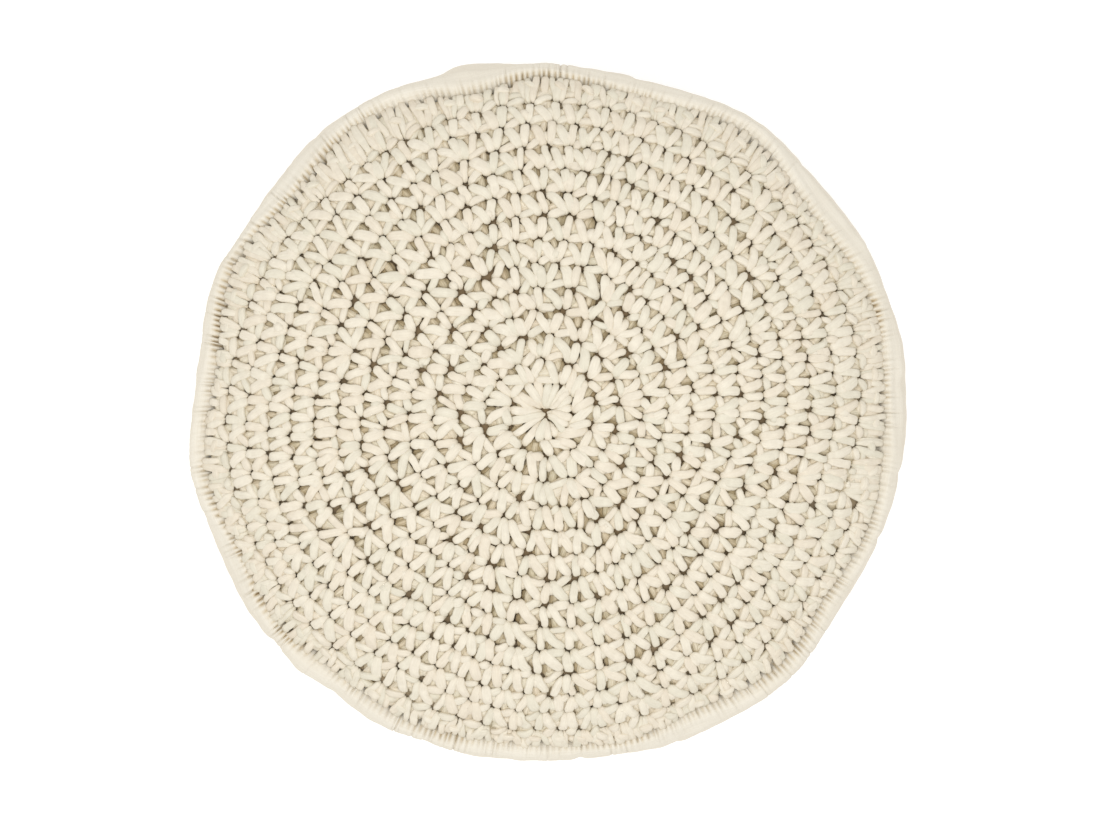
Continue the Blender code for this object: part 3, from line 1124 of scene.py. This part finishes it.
# %% [markdown]
# ## The gathers
#
# To fit the long side cloth onto the shorter edge of the crochet, the maker gathers it: about
# four hundred tiny pleats, sharp in their valleys and round on top, that die out within a
# centimetre or two. They are pulled tighter in some places than in others, and bunch up
# in small clumps. From many of them a faint tail runs on down the side. A pleat is a function
# of direction and distance from the seam that says how deep the cloth lies.

# %% Shape the gathers
PLEATS = 384
PLEAT_DEPTH = 2.4 * MM
PLEAT_START = 7.0 * MM
PLEAT_EASE = 0.25
CLUMP_PULL = 0.45
LONG_SHARE = 0.16
TAIL_LENGTH = 21.0 * MM
# Where the gathers are pulled tighter, as waves that say how much.
TIGHT_GATHERS = (
    (14, 7, 0.9), (82, 9, 0.4), (95, 5, 0.7), (132, 4, 0.9), (145, 3, 0.6), (163, 6, 0.8),
    (190, 8, 0.4), (212, 7, 0.9), (256, 6, 0.3), (288, 8, 0.25), (318, 7, 0.6))

pleat_widths = np.clip(rng.normal(1.0, 0.22, PLEATS), 0.5, 1.6)
pleat_edges = np.concatenate([[0.0], np.cumsum(pleat_widths)]) / pleat_widths.sum() * FULL_TURN
pleat_depths = PLEAT_DEPTH * np.clip(rng.normal(1.0, 0.35, PLEATS), 0.3, 1.8)
pleat_pulls = PLEAT_EASE + waves_at(TIGHT_GATHERS, pleat_edges[:-1]) / MM
clumps = rng.normal(0.0, 1.0, PLEATS)
clumps = sum(np.roll(clumps, step) for step in range(-2, 3)) / math.sqrt(5.0)
pleat_pulls *= np.clip(1.0 + CLUMP_PULL * clumps, 0.2, 1.8)
pleat_depths *= 0.5 + 0.5 * pleat_pulls
pleat_lengths = rng.uniform(4.0, 11.0, PLEATS) * MM
long_pleats = rng.random(PLEATS) < LONG_SHARE
pleat_lengths[long_pleats] *= 2.0
pleat_tails = rng.uniform(0.0, 0.4, PLEATS)


def pleat_valley(pleat, place, distance):
    """How deep a point lies in its pleat: 0 on the crest, 1 in a full valley."""
    crest = np.sin(math.pi * place) ** 0.8
    fade = np.exp(-(max(distance - PLEAT_START, 0.0) / pleat_lengths[pleat]) ** 1.6)
    tail = pleat_tails[pleat] * math.exp(-(distance / TAIL_LENGTH) ** 2)
    return (1.0 - crest) * np.maximum(fade, tail)


print("pleat pitch, mm:", np.round(1000 * seam_radii.mean() * FULL_TURN / PLEATS, 2))


# %% [markdown]
# ## Creases and lumps
#
# Longer, softer creases run down the side, each a shallow trough with its own slant. The
# filling pushes the cloth out and lets it sink in soft lumps, small ones near the roll and
# broad ones on the wall. Both move the cloth in or out, again by direction and distance from
# the seam. Turns become lengths by the pouf's usual radius there.

# %% Press in creases and lumps
CREASES = 74
CREASE_RADIUS = 0.255
LUMPS = 110
SMALL_LUMPS = 64
LUMP_RADIUS = 0.26

crease_table = {
    "angle": rng.uniform(0.0, FULL_TURN, CREASES),
    "from": rng.uniform(8.0, 70.0, CREASES) * MM,
    "length": rng.uniform(22.0, 95.0, CREASES) * MM,
    "width": rng.uniform(2.4, 5.5, CREASES) * MM,
    "depth": rng.uniform(0.8, 2.6, CREASES) * MM,
    "slant": rng.normal(0.0, 0.22, CREASES),
}


def crease_push(angle, distance):
    """Soft troughs that start near the seam and run down the side."""
    total = np.zeros_like(angle + distance)
    for at, begin, length, width, depth, slant in zip(*crease_table.values()):
        middle = begin + 0.5 * length
        across = turn_from(angle, at) * CREASE_RADIUS - slant * (distance - middle)
        run = np.clip(1.0 - ((distance - middle) / (0.5 * length)) ** 2, 0.0, 1.0)
        total -= depth * run * np.exp(-(across / width) ** 2)
    return total


small = np.arange(LUMPS) < SMALL_LUMPS
lump_table = {
    "angle": rng.uniform(0.0, FULL_TURN, LUMPS),
    "at": np.where(small, rng.uniform(8.0, 34.0, LUMPS), rng.uniform(8.0, 250.0, LUMPS)) * MM,
    "size": np.where(small, rng.uniform(4.0, 9.0, LUMPS), rng.uniform(14.0, 34.0, LUMPS)) * MM,
    "rise": np.where(small, 0.7, 1.1) * rng.normal(0.0, 1.0, LUMPS) * MM,
}


def lump_push(angle, distance):
    """Soft bumps and hollows of the filling."""
    total = np.zeros_like(angle + distance)
    for centre, at, size, rise in zip(*lump_table.values()):
        away = (turn_from(angle, centre) * LUMP_RADIUS) ** 2 + (distance - at) ** 2
        total += rise * np.exp(-away / (2 * size ** 2))
    return total


print("deepest crease, mm:", (1000 * crease_table["depth"].max()).round(1))
print("highest lump, mm:", (1000 * lump_table["rise"].max()).round(1))


# %% [markdown]
# ## The cloth itself
#
# The cloth is a closed bag of rings: from its middle under the crochet out to the seam, over
# the roll, down the wall and across the base. The pleats need six points each, but the wall
# doesn't, so the rings get coarser by halves as they leave the seam. A closed form also stands
# for the filling. Each ring keeps how much painted shade its points get, for the finish to
# brown them: in the pleat valleys, and under the crochet.

# %% Make the rings
COLUMNS_PER_PLEAT = 6
FINE_REACH = 19.0 * MM
MIDDLE_REACH = 44.0 * MM
CREASE_EASE = 12 * MM
FLOOR_EASE = 25 * MM
SHADE_END = 14.0 * MM
LEAST_SHADE = 0.15
# Painted shade that a full pleat valley gets, as a value for the cloth's shade ramp.
VALLEY_PAINTED_SHADE = 1.3
HIDDEN_SHARES = (0.10, 0.30, 0.55, 0.78, 0.93)
HIDDEN_DEPTH = 8.6 * MM
# Painted shade on the crown under the crochet: nearly full brown where it shows through holes.
HIDDEN_PAINTED_SHADE = 1.8

pleat_numbers = np.repeat(np.arange(PLEATS), COLUMNS_PER_PLEAT)
pleat_places = np.tile(np.arange(COLUMNS_PER_PLEAT) / COLUMNS_PER_PLEAT, PLEATS)
pleat_spans = np.diff(pleat_edges)
fine_angles = pleat_edges[pleat_numbers] + pleat_places * pleat_spans[pleat_numbers]


def side_ring(distance, every):
    """One ring of the side cloth, using every so many of the finest columns."""
    angle = fine_angles[::every]
    pleat = pleat_numbers[::every]
    valley = pleat_valley(pleat, pleat_places[::every], distance)
    share = np.full(len(angle), distance / LINE_LENGTH)
    push = lump_push(angle, distance) - pleat_depths[pleat] * valley
    push += crease_push(angle, distance) * min(distance / CREASE_EASE, 1.0)
    push *= np.clip((LINE_LENGTH - distance) / FLOOR_EASE, 0.0, 1.0)
    points = cloth_base(angle, share) + cloth_out(angle, share) * push[:, None]
    # Painted shade in the pleat valleys: full near the seam, fading down the side, and darker
    # where the gathers are pulled tighter.
    fade = np.clip((SHADE_END - distance) / (SHADE_END - PLEAT_START), LEAST_SHADE, 1.0)
    sink = VALLEY_PAINTED_SHADE * (valley * fade) * pleat_pulls[pleat]
    return {"points": points, "sink": sink, "distance": distance}


def hidden_ring(share, every):
    """A ring of the body's crown, in the dark below the crochet, painted dark brown as shade."""
    angle = fine_angles[::every]
    plan = MIDDLE + share * (seam_point(angle, 2.0 * MM) - MIDDLE)
    depth = HIDDEN_DEPTH * (1.0 - TIGHTENING * tightness(plan))
    points = under_crown(plan[:, 0], plan[:, 1], depth)
    # Painted shade: the crown is coloured dark brown, a little less so towards the seam.
    sink = np.full(len(angle), HIDDEN_PAINTED_SHADE - 0.5 * share ** 4)
    return {"points": points, "sink": sink, "distance": 0.0}


def floor_ring(edge, share, every):
    """A smaller copy of the floor edge, flat on the floor."""
    points = edge["points"][::every].copy()
    points[:, :2] = MIDDLE + (points[:, :2] - MIDDLE) * share
    points[:, 2] = 0.0
    return {"points": points, "sink": np.zeros(len(points)), "distance": LINE_LENGTH}


rings = [hidden_ring(share, 16) for share in HIDDEN_SHARES]
rings += [hidden_ring(0.98, 8), side_ring(0.0, 4), side_ring(0.8 * MM, 2)]
rings += [side_ring(d, 1) for d in np.linspace(1.6 * MM, FINE_REACH, 17)]
rings += [side_ring(d, 2) for d in np.linspace(FINE_REACH, MIDDLE_REACH, 13)[1:]]
rings += [side_ring(d, 4) for d in np.linspace(MIDDLE_REACH, LINE_LENGTH, 52)[1:]]
floor_edge = rings[-1]
rings += [floor_ring(floor_edge, 0.97, 1), floor_ring(floor_edge, 0.80, 2)]
rings += [floor_ring(floor_edge, share, 4) for share in (0.55, 0.30, 0.10)]
print("rings of cloth:", len(rings))


# %% [markdown]
# Two neighbouring rings have the same number of points, or one has twice as many. The first
# case gives a strip of squares, each cut in two, the second a strip where each long side meets
# two short ones.

# %% Weave the rings together
def strip(first, first_start, second, second_start):
    """Triangles between two rings of equal counts, or of counts two to one."""
    small = min(first, second)
    k = np.arange(small)
    after = (k + 1) % small
    if first == second:
        a, b = first_start + k, first_start + after
        c, d = second_start + k, second_start + after
        return np.concatenate([np.stack([a, c, d], 1), np.stack([a, d, b], 1)])
    small_start, large_start = (first_start, second_start)[:: 1 if first < second else -1]
    a, b = small_start + k, small_start + after
    near, half, far = large_start + 2 * k, large_start + 2 * k + 1, large_start + 2 * after
    parts = [np.stack(c, 1) for c in ((a, near, half), (a, half, b), (b, half, far))]
    faces = np.concatenate(parts)
    return faces if first < second else faces[:, ::-1]


def fan(middle, start, count, turned):
    """Triangles from a middle point to a ring."""
    k = np.arange(count)
    after = (k + 1) % count
    faces = np.stack([np.full(count, middle), start + k, start + after], 1)
    return faces[:, ::-1] if turned else faces


def weave(rings):
    """All faces of the bag; its middle point on top comes first and the one below last."""
    counts = [len(ring["points"]) for ring in rings]
    starts = 1 + np.concatenate([[0], np.cumsum(counts)])
    faces = [fan(0, starts[0], counts[0], False)]
    for i in range(len(rings) - 1):
        faces.append(strip(counts[i], starts[i], counts[i + 1], starts[i + 1]))
    faces.append(fan(starts[-1], starts[-2], counts[-1], True))
    return np.concatenate(faces)


under_middle = under_crown(MIDDLE[:1], MIDDLE[1:], np.array([HIDDEN_DEPTH]))
floor_middle = np.array([[MIDDLE[0], MIDDLE[1], 0.0]])
cloth_points = np.concatenate([under_middle, *[r["points"] for r in rings], floor_middle])
cloth_sink = np.concatenate([[HIDDEN_PAINTED_SHADE], *[r["sink"] for r in rings], [0.0]])
cloth_run = [np.full(len(r["points"]), r["distance"]) for r in rings]
cloth_run = np.concatenate([[0.0], *cloth_run, [LINE_LENGTH]])
cloth_place = np.concatenate([cloth_points[:, :2], cloth_run[:, None]], 1) / MM
cloth_attributes = {"cloth": cloth_place, "sink": cloth_sink}
side_cloth = mesh_piece("side_cloth", cloth_points, weave(rings), cloth_attributes)
print("side cloth triangles:", len(side_cloth.data.polygons))


# %% [markdown]
# ## The finish of the cloth
#
# The side is a plain-woven cream cotton, a little cloudy. Its threads cross, so two stretched
# noises are added up, one running round the pouf and one running down it, and they tint the
# cloth and raise its surface a little. In the gathers and under the crochet a painted shade
# turns it brown with depth.

# %% Mix the cotton cloth
CLOTH_CREAM = (0.693, 0.648, 0.556)
CLOTH_PALE = (0.712, 0.671, 0.584)
# Values where the cloth's painted shade starts and where it is full.
CLOTH_SHADE = (0.0, 2.0)


def cotton_cloth():
    """Plain-woven cream cotton, browned by painted shade in the gathers and under the crochet."""
    finish, tree, shader = cotton_finish("cotton cloth", roughness=0.92, sheen=0.2)
    place = read_attribute(tree, "cloth", "Vector")
    cloudy = stretched_noise(tree, place, (0.02, 0.02, 0.02), 2.0)
    colour = ramp(tree, cloudy, (0.35, CLOTH_CREAM), (0.65, CLOTH_PALE))
    threads_round = stretched_noise(tree, place, (0.05, 0.05, 1.3), 2.0)
    threads_down = stretched_noise(tree, place, (1.1, 1.1, 0.05), 2.0)
    both = {0: threads_round, 1: threads_down}
    woven = add_node(tree, "Math", both, operation="ADD").outputs[0]
    slubs = remap(tree, woven, 0.75, 1.25)
    slubs = ramp(tree, slubs, (0.0, (0.93, 0.92, 0.90)), (1.0, WHITE))
    colour = tint(tree, colour, slubs)
    # Painted shade: each point's shade value turns the cloth brown.
    depth = remap(tree, read_attribute(tree, "sink"), *CLOTH_SHADE)
    shade = ramp(tree, depth, (0.0, WHITE), (0.5, (0.80, 0.71, 0.56)),
                 (1.0, (0.32, 0.215, 0.115)))
    colour = tint(tree, colour, shade)
    colour_and_raise(tree, shader, colour, woven, distance=0.25 * MM, strength=0.35)
    return finish


CLOTH = cotton_cloth()
side_cloth.data.materials.append(CLOTH)
print("finish:", CLOTH.name)


# %% [markdown]
# ## Tie the pieces to the imported model
#
# Every piece moves with the pouf's one body. The yarn is shown instead of the imported disc
# and the cloth instead of the imported body, which stay for collision but aren't shown.

# %% Ride, and hide what the pieces replace
for piece in yarn_pieces:
    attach(piece, "root")
    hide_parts("crochet_top")
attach(side_cloth, "root")
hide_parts("pouf_body")
added = sum(len(piece.data.polygons) for piece in yarn_pieces + [side_cloth])
print("triangles added:", added)


# %% [markdown]
# ## Floor, light and camera
#
# The pouf lies on a plain pale floor under soft white light from all round, with a little more
# from a broad lamp above that stands slightly to one side, so the dips between the strands do
# the drawing. The floor glows faintly, which keeps it evenly pale. The camera looks straight
# down from well above, with a long lens that keeps the round outline true.

# %% Set up the studio
FLOOR_SIZE = 6.0
FLOOR_PALE = 0.95
FLOOR_GLOW = 0.12
SKY = 0.81
LAMP_PLACE = (-0.17, -0.30, 3.3)
LAMP_AIM = (0.0, 0.0, 0.2)
LAMP_SIZE = 2.8
LAMP_WATTS = 63.0
CAMERA_HEIGHT = 2.765
LENS = 112.3
SENSOR_WIDTH = 36.0


def pale_floor():
    """A flat square sheet, matt and pale."""
    points = np.array([[-1, -1, 0], [1, -1, 0], [1, 1, 0], [-1, 1, 0]]) * 0.5 * FLOOR_SIZE
    floor = mesh_piece("pale_floor", points, np.array([[0, 1, 2], [0, 2, 3]]), {})
    finish = new_finish("pale floor", {
        "Base Color": (*[FLOOR_PALE] * 3, 1.0), "Roughness": 0.95, "Specular IOR Level": 0.0,
        "Emission Color": (*WHITE, 1.0), "Emission Strength": FLOOR_GLOW})[0]
    floor.data.materials.append(finish)
    return floor


def place_in_scene(name, data, place):
    """An object for a lamp or a camera."""
    holder = bpy.data.objects.new(name, data)
    holder.location = place
    bpy.context.scene.collection.objects.link(holder)
    return holder


floor = pale_floor()

sky = bpy.data.worlds.new("soft sky")
sky.use_nodes = True
background = {"Color": (*WHITE, 1.0), "Strength": SKY}
fill(sky.node_tree, sky.node_tree.nodes["Background"], background)
bpy.context.scene.world = sky

lamp = bpy.data.lights.new("overhead", "AREA")
lamp.shape = "DISK"
lamp.size = LAMP_SIZE
lamp.energy = LAMP_WATTS
overhead = place_in_scene("overhead", lamp, LAMP_PLACE)
lamp_way = Vector(LAMP_AIM) - Vector(LAMP_PLACE)
overhead.rotation_euler = lamp_way.to_track_quat("-Z", "Y").to_euler()

lens = bpy.data.cameras.new("camera")
lens.lens = LENS
lens.sensor_width = SENSOR_WIDTH
lens.clip_start = 0.05
bpy.context.scene.camera = place_in_scene("camera", lens, (0.0, 0.0, CAMERA_HEIGHT))
bpy.context.scene.view_settings.view_transform = "Standard"
print("camera height, m:", CAMERA_HEIGHT, "lens, mm:", LENS)
